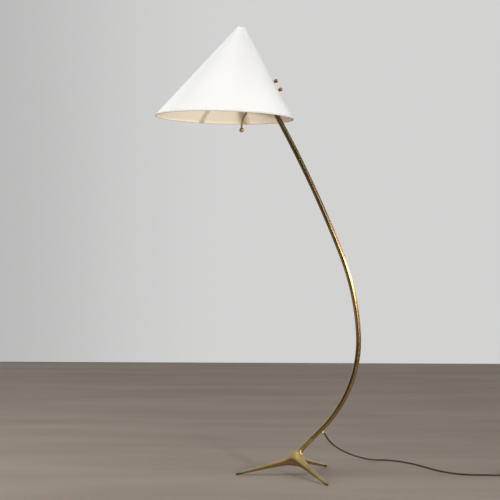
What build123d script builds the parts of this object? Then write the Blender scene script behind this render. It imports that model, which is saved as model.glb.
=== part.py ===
from build123d import *
from math import cos, radians, sin, sqrt, tan
import os

import numpy as np

# All sizes are in millimetres and degrees. +X is to the right, +Y to the back, +Z up.
# The floor is at Z = 0 and the lamp is symmetrical about the plane Y = 0, apart from its cord and key.

# Fits
RUNNING_FIT = 0.05        # radial room of a part that turns in another
PUSH_FIT = 0.05           # radial room of a part that is pushed in and fixed
TURNING_GAP = 0.1         # room between flat faces that turn on each other

# Foot casting
FOOT_X = 134.9            # centre of the foot, right of the middle of the lamp
HUB_R = 23.0
HUB_Z = 58.0
LEG_COUNT = 3
LEG_HEADING = 180.0       # the first leg points left
TOE_REACH = 208.5         # from the foot's centre to the centre of a toe's ball
TOE_R = 3.9               # half the depth of a toe
TOE_FLAT = 1.3            # depth of the flat under a toe
LEG_R = 8.2               # half the depth of a leg where its flare begins
LEG_FLARE_AT = 100.0      # distance from the hub's centre to the start of the flare
LEG_FLARE_R = 15.8
LEG_FLARE_END = 16.0
LEG_WIDENING = 1.3        # width of a leg over its depth
NECK_LEAN = 45.0          # slope of the neck above the floor
NECK_RISE = 18.6          # the neck's axis starts above the hub's centre
NECK_LEN = 75.0
NECK_R = 9.3
NECK_FLARE_AT = 45.0
NECK_FLARE_R = 11.7
NECK_FLARE_END = -4.0
SPIGOT_LEN = 34.0         # spigot of the neck inside the tube
GLIDE_R = 3.3
GLIDE_T = 1.2

# Stem tube, from the neck upwards
STEM_R = 9.0
STEM_WALL = 1.5
STEM_FOOT_RUN = 50.0
LOW_BEND_R = 436.7
LOW_BEND = 47.6
MIDDLE_BEND_R = 878.0
MIDDLE_BEND = 18.6
HIGH_BEND_R = 4135.0
HIGH_BEND = 6.5
STEM_TOP_RUN = 133.0

# Grub screw that holds the tube on the spigot, from behind
GRUB_R = 2.0
GRUB_LEN = 6.0
GRUB_UP = 17.0

# Cord exit on the stem
EXIT_UP = 43.0            # from the end of the neck, along the tube
EXIT_TURN = 40.0          # from straight below the tube, round to the back
BUSHING_LEN = 9.0         # outside the tube
BUSHING_BASE_R = 5.2
BUSHING_TIP_R = 4.0
BUSHING_SHANK_R = 3.9
BUSHING_INSIDE = 1.5      # length of the shank past the tube's wall
LEAD_R = 2.4
LEAD_ROOM = 0.05
LEAD_BEND_R = 5.0
LEAD_TOP = 10.0           # the lead ends this far above the tube's top

# Swivel at the top of the stem
PLUG_LEN = 25.0
COLLAR_T = 3.0
SHANK_R = 4.95
SHANK_BORE_R = 3.0
SWIVEL_NUT_R = 6.8
SWIVEL_NUT_T = 6.0
SHANK_TAIL = 2.0          # thread below the nut

# Fork and tilt knuckle
FORK_R = 9.0
PIVOT_UP = 30.0           # pivot above the tube's top, along the stem
SLOT_W = 10.0
SLOT_DEPTH = 11.5         # slot floor below the pivot
CHEEK_T = 3.0
FLAT_DROP = 15.0          # flats on the cheeks reach this far below the pivot
PIVOT_R = 3.0
SCREW_HEAD_R = 5.5
SCREW_HEAD_T = 3.5
PIVOT_NUT_R = 5.5
PIVOT_NUT_T = 5.0
WASHER_R = 8.0
WASHER_T = 0.9

# Carrier between the knuckle and the shade
EYE_R = 9.0
ARM_H = 12.0
PLATE_T = 4.0
PLATE_H = 54.0
PLATE_W = 14.0
HOLDER_DROP = 3.0         # the lampholder points left, this far below the level
HOLDER_ARM_H = 10.0
BALL_HUB_AT = 22.0
BALL_HUB_R = 11.5
BALL_HUB_NECK_R = 6.6
BALL_HUB_NECK_END = 37.0

# Shade, set out from its straight right side, which runs along the top of the stem
SHADE_REACH = 45.2        # from the pivot to the outside of the right side
SIDE_BELOW = 132.0        # right side below the pivot
SIDE_ABOVE = 224.7        # right side above the pivot
RIM_D = 483.0
RIM_TILT = 1.6            # the right end of the rim is lower
TIP_D = 30.5
TIP_TILT = 11.6
SHADE_WALL = 0.8
RIM_WIRE_R = 2.2
RIM_WIRE_IN = 1.0         # centre of the wire inside the rim's radius
TIP_WIRE_R = 1.6
TIP_WIRE_IN = 0.8
PLATE_CLEAR = 0.35        # flat plate inside the curved wall

# Studs and ball nuts that hold the shade
STUD_R = 2.5
STUD_SPREAD = 33.5
STUD_DROP = 3.0           # middle of the studs below the pivot
STUD_HEAD_R = 4.5
STUD_HEAD_T = 3.0
STUD_HOLE_ROOM = 0.3
STUD_WASHER_R = 6.0
STUD_WASHER_T = 1.2
STUD_WASHER_CLEAR = 0.2   # flat washer on the curved wall
BALL_R = 6.8
BALL_NECK_R = 4.5
BALL_OUT = 8.4            # centre of the ball from the wall
BALL_THREAD = 4.0         # thread inside the ball, past its seat

# Handle
HANDLE_R = 3.5
HANDLE_LEAN = 30.0        # from the vertical
HANDLE_RUN = 92.0         # from the ball hub's centre to the bend
HANDLE_BEND_R = 90.0
HANDLE_ROOT = 7.5         # end of the rod from the ball hub's centre
HANDLE_BALL_R = 8.2
HANDLE_BALL_LAP = 0.4     # the ball covers this much of the bend's end
HANDLE_TAIL = 5.0         # rod inside the ball

# Lampholder, measured along its axis from the end of the ball hub's neck
NIPPLE_R = 5.0
NIPPLE_BORE_R = 3.2
NIPPLE_IN = 6.0
NIPPLE_OUT = 14.0
CAP_R = 20.0
CAP_BACK_R = 9.0
CAP_DOME_R = 16.5         # radius of the dome at a third of its height
CAP_DOME_H = 12.0
CAP_LEN = 26.0
CAP_WALL = 1.2
HOLDER_NUT_R = 7.5
HOLDER_NUT_T = 4.0
INSERT_AT = 15.0
INSERT_T = 14.0
INSERT_ROOM = 0.2
INSERT_WIRE_DEPTH = 7.0
SHELL_END = 62.0
LIP_R = 21.2
LIP_T = 2.0
SLEEVE_R = 14.6
SLEEVE_WALL = 0.5
SLEEVE_LEN = 25.0
SLEEVE_FLANGE_T = 0.6
SLEEVE_HOLE_R = 6.0
CONTACT_R = 4.5
CONTACT_T = 2.4

# Switch key on the side of the lampholder
KEY_AT = 20.0
KEY_R = 2.0
KEY_INNER = 9.5           # inner end of the key's shaft from the holder's axis
KEY_OUTER = 24.5
KEY_DISC_R = 6.5
KEY_DISC_T = 3.2
KEY_DISC_AT = 29.5

# Bulb
BULB_CAP_R = 13.2
BULB_CAP_LEN = 26.5
BULB_TIP_R = 4.5
BULB_TIP_LEN = 2.0
BULB_TAPER_R = 12.0
BULB_TAPER_LEN = 4.5
GLASS_R = 30.0
GLASS_NECK_R = 13.0
GLASS_TAPER = 22.0
GLASS_WALL = 0.8

# Cord: the points of its route are chosen by hand, from the bushing to the coil
CORD_R = 3.0
CORD_STUB = 14.0          # straight stretch out of the bushing
CORD_LIE = 3.1            # height of the cord's middle on the floor
COIL_LIE = 4.2            # and in the coil, which lies on its tie
CORD_ROUTE = [
    (245.0, 36.5, 121.5),
    (262.0, 62.0, 100.0),
    (285.0, 96.0, 79.0),
    (314.5, 141.0, 57.0),
    (348.5, 193.0, 37.0),
    (383.0, 246.0, 19.5),
    (415.0, 294.0, 6.5),
    (444.0, 316.0, CORD_LIE),
    (481.0, 308.0, CORD_LIE),
    (520.0, 281.0, CORD_LIE),
    (560.0, 236.0, CORD_LIE),
    (595.0, 176.0, CORD_LIE),
    (629.0, 113.0, CORD_LIE),
    (665.0, 66.5, CORD_LIE),
    (705.0, 35.5, CORD_LIE),
    (750.0, 23.5, CORD_LIE),
    (800.0, 25.5, CORD_LIE),
    (840.0, 20.5, CORD_LIE),
    (868.0, 19.0, COIL_LIE),
]
CORD_FILLET_SHARE = 0.45

# Coil of the rest of the cord
COIL_X = 899.0            # where the first half turn starts
COIL_Y = 19.0
COIL_R = 39.6             # radius of the first half turn
COIL_PITCH = 6.6          # from one turn to the next, and from layer to layer
HALF_TURNS_IN = 5
HALF_TURNS_OUT = 6
LEAD_OUT_R = 30.0
COIL_SAMPLES = 900
TIE_T = 0.9
TIE_W = 8.0
TIE_ROOM = 0.3

# Plug
PLUG_NECK_R = 5.0
PLUG_SHOULDER_R = 8.0
PLUG_NECK_LEN = 18.0
PLUG_W = 36.0
PLUG_H = 21.4
PLUG_CORNER_R = 9.0
PLUG_BODY_LEN = 30.0
PLUG_EDGE_R = 3.0
PIN_R = 2.4
PIN_LEN = 19.0
PIN_TIP = 1.0
PIN_SPREAD = 19.0
PIN_ROOT = 8.0            # length of a pin inside the body
PIN_ROOT_R = 1.8

BASE = (Align.CENTER, Align.CENTER, Align.MIN)
BACK = Vector(0, 1, 0)
FRONT = Vector(0, -1, 0)
UP = Vector(0, 0, 1)

parts = {}


def level(angle):
    """Direction in the plane Y = 0, at an angle above +X."""
    return Vector(cos(radians(angle)), 0, sin(radians(angle)))


def rod(origin, direction, near, far, radius):
    """Round bar on the line from origin along direction, between two distances."""
    start = Plane(origin=origin + direction * near, z_dir=direction)
    return start * Cylinder(radius, far - near, align=BASE)


def turned(*edges):
    """Solid of revolution about Z, from the edges of a closed half profile (radius, height)."""
    return revolve(Plane.XZ * make_face(Curve() + list(edges)), axis=Axis.Z)


def turned_points(*points):
    """Solid of revolution about Z, from the corners of a closed half profile (radius, height)."""
    return turned(*Polyline(*points, close=True).edges())


def tube_along(path, radius):
    """Round bar swept along a path."""
    start = Plane(origin=path @ 0, z_dir=path % 0)
    return sweep(start * Circle(radius), path=path)


# Foot casting: each leg is an oval taper that ends in a toe and flares into the round hub
hub = Vector(FOOT_X, 0, HUB_Z)
toe_z = GLIDE_T + TOE_R - TOE_FLAT
toes = []
for leg in range(LEG_COUNT):
    heading = radians(LEG_HEADING + 360.0 / LEG_COUNT * leg)
    toes.append(Vector(FOOT_X + TOE_REACH * cos(heading), TOE_REACH * sin(heading), toe_z))

leg_len = (toes[0] - hub).length
leg_side = Line((TOE_R, leg_len), (LEG_R, LEG_FLARE_AT))
leg_flare = TangentArc((LEG_R, LEG_FLARE_AT), (LEG_FLARE_R, LEG_FLARE_END), tangent=leg_side % 1)
leg_ends = Polyline((LEG_FLARE_R, LEG_FLARE_END), (0, LEG_FLARE_END), (0, leg_len), (TOE_R, leg_len))
leg_body = turned(leg_side, leg_flare, *leg_ends.edges()) + Pos(0, 0, leg_len) * Sphere(TOE_R)
leg_body = scale(leg_body, by=(LEG_WIDENING, 1, 1))

neck_root = hub + UP * NECK_RISE
neck_way = level(NECK_LEAN)
neck_side = Line((NECK_R, NECK_LEN), (NECK_R, NECK_FLARE_AT))
neck_flare = TangentArc((NECK_R, NECK_FLARE_AT), (NECK_FLARE_R, NECK_FLARE_END), tangent=neck_side % 1)
neck_ends = Polyline((NECK_FLARE_R, NECK_FLARE_END), (0, NECK_FLARE_END), (0, NECK_LEN), (NECK_R, NECK_LEN))
neck_body = turned(neck_side, neck_flare, *neck_ends.edges())

foot = Pos(hub) * Sphere(HUB_R)
for toe in toes:
    leg_way = toe - hub
    foot += Plane(origin=hub, x_dir=UP.cross(leg_way), z_dir=leg_way) * leg_body
foot += Plane(origin=neck_root, z_dir=neck_way) * neck_body
foot -= Pos(FOOT_X, 0, GLIDE_T - 2 * TOE_R) * Cylinder(TOE_REACH + 2 * TOE_R, 2 * TOE_R, align=BASE)

spigot_r = STEM_R - STEM_WALL - PUSH_FIT
foot += rod(neck_root, neck_way, NECK_LEN - NECK_R, NECK_LEN + SPIGOT_LEN, spigot_r)
joint = neck_root + neck_way * NECK_LEN
grub_seat = joint + neck_way * GRUB_UP
grub_depth = STEM_R - GRUB_LEN
foot -= rod(grub_seat, BACK, grub_depth, STEM_R, GRUB_R + PUSH_FIT)
parts["foot_casting"] = foot
parts["foot_grub_screw"] = rod(grub_seat, BACK, grub_depth, STEM_R, GRUB_R)

# Pads under the toes
parts["foot_glides"] = [
    Pos(toe.X, toe.Y, 0) * Cylinder(GLIDE_R, GLIDE_T, align=BASE) for toe in toes
]

# Stem: straight out of the neck, then three bends that grow gentler, then straight
low_bend_at = joint + neck_way * STEM_FOOT_RUN
start_run = Line((joint.X, joint.Z), (low_bend_at.X, low_bend_at.Z))
low_bend = JernArc(start_run @ 1, start_run % 1, LOW_BEND_R, LOW_BEND)
middle_bend = JernArc(low_bend @ 1, low_bend % 1, MIDDLE_BEND_R, MIDDLE_BEND)
high_bend = JernArc(middle_bend @ 1, middle_bend % 1, HIGH_BEND_R, HIGH_BEND)
top_run = Line(high_bend @ 1, (high_bend @ 1) + (high_bend % 1) * STEM_TOP_RUN)
stem_curve = Plane.XZ * (start_run + low_bend + middle_bend + high_bend + top_run)
stem_path = Wire(stem_curve.edges())
stem_bore_r = STEM_R - STEM_WALL
stem = tube_along(stem_path, STEM_R) - tube_along(stem_path, stem_bore_r)

# Cord exit, square to the tube on its lower back side
exit_seat = joint + neck_way * EXIT_UP
below = level(NECK_LEAN - 90)
exit_way = below * cos(radians(EXIT_TURN)) + BACK * sin(radians(EXIT_TURN))
exit_face = STEM_R + BUSHING_LEN
stem -= rod(exit_seat, exit_way, 0, exit_face, BUSHING_SHANK_R + PUSH_FIT)
stem -= rod(grub_seat, BACK, 0, exit_face, GRUB_R + PUSH_FIT)
parts["stem_tube"] = stem

# Ivory bushing: a tapered collar that sits on the tube, and a shank through its wall
collar_base = Plane(origin=exit_seat, z_dir=exit_way)
collar_slope = (BUSHING_BASE_R - BUSHING_TIP_R) / BUSHING_LEN
collar_inner_r = BUSHING_BASE_R + collar_slope * STEM_R
bushing = collar_base * Cone(collar_inner_r, BUSHING_TIP_R, exit_face, align=BASE)
bushing -= rod(joint, neck_way, 0, 2 * EXIT_UP, STEM_R)
bushing += rod(exit_seat, exit_way, stem_bore_r - BUSHING_INSIDE, STEM_R + PUSH_FIT * 2, BUSHING_SHANK_R)
bushing -= rod(exit_seat, exit_way, 0, exit_face, LEAD_R + LEAD_ROOM)
parts["cord_bushing"] = bushing

# Lead inside the tube, from the bushing's outer face up into the hollow swivel shank
stem_top = stem_path @ 1
stem_way = stem_path % 1
lead_in = Line(exit_seat + exit_way * exit_face, exit_seat + exit_way * LEAD_BEND_R)
bend_end = exit_seat + neck_way * LEAD_BEND_R
bend_centre = exit_seat + (exit_way + neck_way) * LEAD_BEND_R
bend_middle = bend_centre - (exit_way + neck_way).normalized() * LEAD_BEND_R
lead_bend = ThreePointArc(lead_in @ 1, bend_middle, bend_end)
stem_edges = stem_curve.edges().sort_by(Axis.Z)
lead_rise = Line(bend_end, stem_edges[0] @ 1)
lead_top = Line(stem_edges[-1] @ 0, stem_top + stem_way * LEAD_TOP)
lead_path = Wire([lead_in, lead_bend, lead_rise, *stem_edges[1:-1], lead_top])
parts["stem_lead"] = tube_along(lead_path, LEAD_R)

# Plug and collar soldered into the top of the tube, bored for the swivel shank
plug = rod(stem_top, stem_way, -PLUG_LEN, 0, stem_bore_r - PUSH_FIT)
plug += rod(stem_top, stem_way, 0, COLLAR_T, STEM_R)
plug -= rod(stem_top, stem_way, -PLUG_LEN, COLLAR_T, SHANK_R + RUNNING_FIT)
parts["stem_plug"] = plug

# Fork: a round bar with a slot, rounded about the pivot, on a hollow shank that turns in the plug
pivot = stem_top + stem_way * PIVOT_UP
outward = Vector(stem_way.Z, 0, -stem_way.X)
HEAD = Plane(origin=pivot, x_dir=outward, z_dir=FRONT)
fork_foot = COLLAR_T + TURNING_GAP
shank_end = -PLUG_LEN - TURNING_GAP - SWIVEL_NUT_T - SHANK_TAIL
cheek_out = SLOT_W / 2 + CHEEK_T
fork = rod(stem_top, stem_way, fork_foot, PIVOT_UP, FORK_R)
fork_round = rod(stem_top, stem_way, PIVOT_UP, PIVOT_UP + FORK_R, FORK_R)
fork += fork_round & rod(pivot, BACK, -FORK_R, FORK_R, FORK_R)
fork -= HEAD * Pos(0, FORK_R / 2 - SLOT_DEPTH / 2, 0) * Box(2 * FORK_R, FORK_R + SLOT_DEPTH, SLOT_W)
for side in (BACK, FRONT):
    flat = Plane(origin=pivot + side * cheek_out, x_dir=stem_way, z_dir=side)
    flat *= Pos((FORK_R - FLAT_DROP) / 2, 0, 0)
    fork -= flat * Box(FORK_R + FLAT_DROP, 2 * FORK_R, FORK_R, align=BASE)
fork += rod(stem_top, stem_way, shank_end, fork_foot, SHANK_R)
fork -= rod(stem_top, stem_way, shank_end, PIVOT_UP, SHANK_BORE_R)
fork -= rod(pivot, BACK, -FORK_R, FORK_R, PIVOT_R + PUSH_FIT)
parts["swivel_fork"] = fork

nut_top = -PLUG_LEN - TURNING_GAP
swivel_nut = rod(stem_top, stem_way, nut_top - SWIVEL_NUT_T, nut_top, SWIVEL_NUT_R)
swivel_nut -= rod(stem_top, stem_way, nut_top - SWIVEL_NUT_T, nut_top, SHANK_R + PUSH_FIT)
parts["swivel_nut"] = swivel_nut

# Pivot screw with a domed head in front and a cap nut behind
nut_face = cheek_out + PIVOT_NUT_T
screw_thread_end = cheek_out + PIVOT_NUT_T / 2
screw = rod(pivot, FRONT, -screw_thread_end, cheek_out, PIVOT_R)
screw_dome = rod(pivot, FRONT, cheek_out, cheek_out + SCREW_HEAD_T, SCREW_HEAD_R)
screw += fillet(screw_dome.edges().sort_by(Axis.Y)[0], SCREW_HEAD_T / 2)
parts["pivot_screw"] = screw
pivot_nut = rod(pivot, BACK, cheek_out, nut_face, PIVOT_NUT_R)
pivot_nut = fillet(pivot_nut.edges().sort_by(Axis.Y)[-1], PIVOT_NUT_T / 2)
pivot_nut -= rod(pivot, BACK, cheek_out, screw_thread_end, PIVOT_R + PUSH_FIT)
parts["pivot_nut"] = pivot_nut

# Friction washers between the cheeks and the carrier's eye
washer_out = SLOT_W / 2 - PUSH_FIT
parts["friction_washers"] = [
    rod(pivot, side, washer_out - WASHER_T, washer_out, WASHER_R)
    - rod(pivot, side, washer_out - WASHER_T, washer_out, PIVOT_R + PUSH_FIT)
    for side in (BACK, FRONT)
]

# Carrier: eye, arm and plate on the right, ball hub for the handle and the lampholder on the left
tongue_t = 2 * (washer_out - WASHER_T - TURNING_GAP)
plate_out = SHADE_REACH - SHADE_WALL - PLATE_CLEAR
plate_in = plate_out - PLATE_T
holder_way = level(180 + HOLDER_DROP)
HOLDER = Plane(origin=pivot + holder_way * BALL_HUB_NECK_END, x_dir=FRONT, z_dir=holder_way)
ball_hub = pivot + holder_way * BALL_HUB_AT
carrier = rod(pivot, BACK, -tongue_t / 2, tongue_t / 2, EYE_R)
carrier += HEAD * Pos(plate_in / 2, 0, 0) * Box(plate_in, ARM_H, tongue_t)
carrier += HEAD * Pos((plate_in + plate_out) / 2, 0, 0) * Box(PLATE_T, PLATE_H, PLATE_W)
carrier += Plane(origin=pivot, x_dir=holder_way, z_dir=FRONT) * Pos(BALL_HUB_AT / 2, 0, 0) * Box(
    BALL_HUB_AT, HOLDER_ARM_H, tongue_t
)
carrier += Pos(ball_hub) * Sphere(BALL_HUB_R)
carrier += rod(pivot, holder_way, BALL_HUB_AT, BALL_HUB_NECK_END, BALL_HUB_NECK_R)
carrier -= rod(pivot, holder_way, BALL_HUB_NECK_END - NIPPLE_IN, BALL_HUB_NECK_END, NIPPLE_R + PUSH_FIT)
carrier -= rod(pivot, BACK, -tongue_t, tongue_t, PIVOT_R + RUNNING_FIT)
handle_way = level(270 - HANDLE_LEAN)
carrier -= rod(ball_hub, handle_way, HANDLE_ROOT, 2 * BALL_HUB_R, HANDLE_R + PUSH_FIT)

# Studs with heads inside the plate, through the shade's wall into the ball nuts
along_wall = Vector(stem_way.X, 0, stem_way.Z)
stud_seats = [pivot + along_wall * (STUD_SPREAD / 2 * end - STUD_DROP) for end in (1, -1)]
washer_in = SHADE_REACH + STUD_WASHER_CLEAR
ball_seat = washer_in + STUD_WASHER_T
stud_end = ball_seat + BALL_THREAD
studs = []
stud_washers = []
ball_nuts = []
for seat in stud_seats:
    carrier -= rod(seat, outward, plate_in, plate_out, STUD_R + PUSH_FIT)
    stud = rod(seat, outward, plate_in, stud_end, STUD_R)
    studs.append(stud + rod(seat, outward, plate_in - STUD_HEAD_T, plate_in, STUD_HEAD_R))
    ring = rod(seat, outward, washer_in, ball_seat, STUD_WASHER_R)
    stud_washers.append(ring - rod(seat, outward, washer_in, ball_seat, STUD_R + STUD_HOLE_ROOM))
    ball = Pos(seat + outward * (SHADE_REACH + BALL_OUT)) * Sphere(BALL_R)
    ball -= rod(seat, outward, 0, ball_seat, 2 * BALL_R)
    ball += rod(seat, outward, ball_seat, SHADE_REACH + BALL_OUT, BALL_NECK_R)
    ball_nuts.append(ball - rod(seat, outward, ball_seat, stud_end, STUD_R + PUSH_FIT))
parts["shade_carrier"] = carrier
parts["shade_studs"] = studs
parts["stud_washers"] = stud_washers
parts["ball_nuts"] = ball_nuts

# Shade: straight lines between a level rim circle and a slanted tip circle
side_foot = pivot + outward * SHADE_REACH - along_wall * SIDE_BELOW
side_head = pivot + outward * SHADE_REACH + along_wall * SIDE_ABOVE
rim_way = level(-RIM_TILT)
tip_way = level(-TIP_TILT)
rim_left = side_foot - rim_way * RIM_D
tip_left = side_head - tip_way * TIP_D
right_slope = (side_head - side_foot).get_angle(UP)
left_slope = (tip_left - rim_left).get_angle(UP)
right_inset = SHADE_WALL / cos(radians(right_slope))
left_inset = SHADE_WALL / cos(radians(left_slope))


def shade_circle(right_end, way, diameter, right_trim, left_trim):
    """Circle square to the plane Y = 0, from its right end, trimmed at both ends."""
    width = diameter - right_trim - left_trim
    centre = right_end - way * (right_trim + width / 2)
    return Plane(origin=centre, x_dir=way, z_dir=way.cross(BACK)) * Circle(width / 2)


outside = loft(
    [
        shade_circle(side_foot, rim_way, RIM_D, 0, 0),
        shade_circle(side_head, tip_way, TIP_D, 0, 0),
    ],
    ruled=True,
)
inside = loft(
    [
        shade_circle(side_foot, rim_way, RIM_D, right_inset, left_inset),
        shade_circle(side_head, tip_way, TIP_D, right_inset, left_inset),
    ],
    ruled=True,
)
cone = outside - inside
for seat in stud_seats:
    cone -= rod(seat, outward, plate_out, washer_in + STUD_WASHER_T, STUD_R + STUD_HOLE_ROOM)
parts["shade_cone"] = cone


def edge_ring(right_end, way, diameter, wire_in, wire_r):
    """Wire ring along an edge of the shade, grooved for the sheet."""
    centre = right_end - way * (diameter / 2)
    ring = Plane(origin=centre, x_dir=way, z_dir=way.cross(BACK)) * Torus(diameter / 2 - wire_in, wire_r)
    return ring - cone


parts["shade_rim_ring"] = edge_ring(side_foot, rim_way, RIM_D, RIM_WIRE_IN, RIM_WIRE_R)
parts["shade_tip_ring"] = edge_ring(side_head, tip_way, TIP_D, TIP_WIRE_IN, TIP_WIRE_R)

# Handle: a rod that bends down to the vertical and ends in a ball
handle_start = ball_hub + handle_way * HANDLE_ROOT
handle_bend_at = ball_hub + handle_way * HANDLE_RUN
handle_run = Line((handle_start.X, handle_start.Z), (handle_bend_at.X, handle_bend_at.Z))
handle_bend = JernArc(handle_run @ 1, handle_run % 1, HANDLE_BEND_R, HANDLE_LEAN)
handle_tail = Line(handle_bend @ 1, (handle_bend @ 1) + (handle_bend % 1) * HANDLE_TAIL)
handle_path = Wire((Plane.XZ * (handle_run + handle_bend + handle_tail)).edges())
parts["handle_rod"] = tube_along(handle_path, HANDLE_R)
bend_foot = handle_path @ 1 + UP * HANDLE_TAIL
ball_centre = bend_foot - UP * (HANDLE_BALL_R - HANDLE_BALL_LAP)
handle_ball = Pos(ball_centre) * Sphere(HANDLE_BALL_R)
parts["handle_ball"] = handle_ball - rod(bend_foot, UP, -HANDLE_TAIL, HANDLE_BALL_R, HANDLE_R + PUSH_FIT)

# Lampholder: nipple, nut, domed cap, shell, insert, screw sleeve and centre contact
nipple = Pos(0, 0, -NIPPLE_IN) * Cylinder(NIPPLE_R, NIPPLE_IN + NIPPLE_OUT, align=BASE)
nipple -= Pos(0, 0, -NIPPLE_IN) * Cylinder(NIPPLE_BORE_R, NIPPLE_IN + NIPPLE_OUT, align=BASE)
parts["holder_nipple"] = HOLDER * nipple


def cap_solid(trim, back):
    """Domed cap, with its outline drawn in by a trim and its back moved forward."""
    third = CAP_DOME_H / 3
    dome = ThreePointArc(
        (CAP_BACK_R - trim, back), (CAP_DOME_R - trim, third + back), (CAP_R - trim, CAP_DOME_H + back)
    )
    sides = Polyline((CAP_R - trim, CAP_DOME_H + back), (CAP_R - trim, CAP_LEN), (0, CAP_LEN), (0, back))
    return turned(dome, *sides.edges(), Line((0, back), (CAP_BACK_R - trim, back)))


key_seat = Plane(origin=(0, 0, KEY_AT), z_dir=(1, 0, 0))
cap = cap_solid(0, 0) - cap_solid(CAP_WALL, CAP_WALL)
cap -= Cylinder(NIPPLE_R + PUSH_FIT, CAP_DOME_H, align=BASE)
cap -= key_seat * Cylinder(KEY_R + RUNNING_FIT, 2 * CAP_R, align=BASE)
parts["holder_cap"] = HOLDER * cap

lock_nut = extrude(RegularPolygon(HOLDER_NUT_R, 6), HOLDER_NUT_T)
lock_nut -= Cylinder(NIPPLE_R + PUSH_FIT, HOLDER_NUT_T, align=BASE)
parts["holder_nut"] = HOLDER * Pos(0, 0, CAP_WALL) * lock_nut

shell_bore_r = CAP_R - CAP_WALL
shell = Pos(0, 0, CAP_LEN) * Cylinder(CAP_R, SHELL_END - CAP_LEN, align=BASE)
shell += Pos(0, 0, SHELL_END - LIP_T) * Cylinder(LIP_R, LIP_T, align=BASE)
shell -= Pos(0, 0, CAP_LEN) * Cylinder(shell_bore_r, SHELL_END - CAP_LEN, align=BASE)
parts["holder_shell"] = HOLDER * shell

insert_face = INSERT_AT + INSERT_T
insert = Pos(0, 0, INSERT_AT) * Cylinder(shell_bore_r - INSERT_ROOM, INSERT_T, align=BASE)
insert -= Pos(0, 0, INSERT_AT) * Cylinder(NIPPLE_BORE_R, INSERT_WIRE_DEPTH, align=BASE)
insert -= key_seat * Pos(0, 0, KEY_INNER) * Cylinder(KEY_R + RUNNING_FIT, CAP_R, align=BASE)
parts["holder_insert"] = HOLDER * insert

sleeve = Cylinder(SLEEVE_R, SLEEVE_LEN, align=BASE)
sleeve -= Pos(0, 0, SLEEVE_FLANGE_T) * Cylinder(SLEEVE_R - SLEEVE_WALL, SLEEVE_LEN, align=BASE)
sleeve -= Cylinder(SLEEVE_HOLE_R, SLEEVE_FLANGE_T, align=BASE)
parts["screw_shell"] = HOLDER * Pos(0, 0, insert_face) * sleeve
parts["centre_contact"] = HOLDER * Pos(0, 0, insert_face) * Cylinder(CONTACT_R, CONTACT_T, align=BASE)

# Switch key: a shaft through the cap into the insert, with a flat disc to turn it by
key_disc = Pos(0, 0, KEY_DISC_AT) * Rot(0, 90, 0) * Cylinder(KEY_DISC_R, KEY_DISC_T)
key_shaft = Pos(0, 0, KEY_INNER) * Cylinder(KEY_R, KEY_OUTER - KEY_INNER, align=BASE)
parts["switch_key"] = HOLDER * key_seat * (key_shaft + key_disc)

# Bulb: screw cap and glass
bulb_at = insert_face + CONTACT_T + TURNING_GAP
taper_at = BULB_TIP_LEN + BULB_TAPER_LEN
bulb_cap = turned_points(
    (0, 0),
    (BULB_TIP_R, 0),
    (BULB_TIP_R, BULB_TIP_LEN),
    (BULB_TAPER_R, taper_at),
    (BULB_CAP_R, taper_at),
    (BULB_CAP_R, BULB_CAP_LEN),
    (0, BULB_CAP_LEN),
)
parts["bulb_cap"] = HOLDER * Pos(0, 0, bulb_at) * bulb_cap

neck_meet_r = GLASS_R * cos(radians(GLASS_TAPER))
neck_meet_z = (neck_meet_r - GLASS_NECK_R) / tan(radians(GLASS_TAPER))
globe_z = neck_meet_z + GLASS_R * sin(radians(GLASS_TAPER))


def glass_solid(trim):
    """Round globe with a tapering neck, drawn in by a trim."""
    taper_trim = trim / cos(radians(GLASS_TAPER))
    globe = Pos(0, 0, globe_z) * Sphere(GLASS_R - trim)
    return globe + Cone(GLASS_NECK_R - taper_trim, neck_meet_r - taper_trim, neck_meet_z, align=BASE)


glass = glass_solid(0) - glass_solid(GLASS_WALL)
parts["bulb_glass"] = HOLDER * Pos(0, 0, bulb_at + BULB_CAP_LEN) * glass

# Cord on the floor: straight runs joined by the largest arcs that they allow
cord_start = exit_seat + exit_way * exit_face
route = [cord_start, cord_start + exit_way * CORD_STUB]
route += [Vector(*point) for point in CORD_ROUTE]
coil_start = Vector(COIL_X, COIL_Y, COIL_LIE)
stub = 2 * CORD_R
route.append(coil_start - Vector(stub, 0, 0))
bend_radii = []
for before, corner, after in zip(route, route[1:], route[2:]):
    shorter = min((corner - before).length, (after - corner).length)
    turn = (corner - before).get_angle(after - corner)
    bend_radii.append(CORD_FILLET_SHARE * shorter / tan(radians(turn / 2)))
cord_path = FilletPolyline(*route, radius=bend_radii).wire()
cord = tube_along(cord_path, CORD_R)
parts["cord_run"] = cord
cord_section = Circle(CORD_R).area
print("cord bend radii", [round(radius) for radius in bend_radii])
print("cord length", round(cord_path.length), "volume over section times length",
      round(cord.volume / (cord_section * cord_path.length), 4))

# Coil: half turns that spiral in on the floor, climb a layer and spiral out again
point = coil_start
heading = Vector(1, 0, 0)
coil_edges = [Line(coil_start - heading * stub, coil_start)]
radius = COIL_R
for turn in range(HALF_TURNS_IN + 1 + HALF_TURNS_OUT):
    rise = COIL_PITCH if turn == HALF_TURNS_IN else 0
    left = UP.cross(heading)
    end = point + left * (2 * radius) + UP * rise
    middle = (point + end) * 0.5 + heading * sqrt(radius**2 + (rise / 2) ** 2)
    coil_edges.append(ThreePointArc(point, middle, end))
    point = end
    heading = heading * -1
    radius += COIL_PITCH / 2 * (-1 if turn < HALF_TURNS_IN else 1)
lead_out_centre = point - UP.cross(heading) * LEAD_OUT_R
lead_out_end = lead_out_centre + heading * LEAD_OUT_R
half_way = (point + lead_out_end) * 0.5 - lead_out_centre
lead_out_middle = lead_out_centre + half_way.normalized() * LEAD_OUT_R
coil_edges.append(ThreePointArc(point, lead_out_middle, lead_out_end))
plug_way = UP.cross(heading) * -1
coil_end = lead_out_end + plug_way * stub
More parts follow.
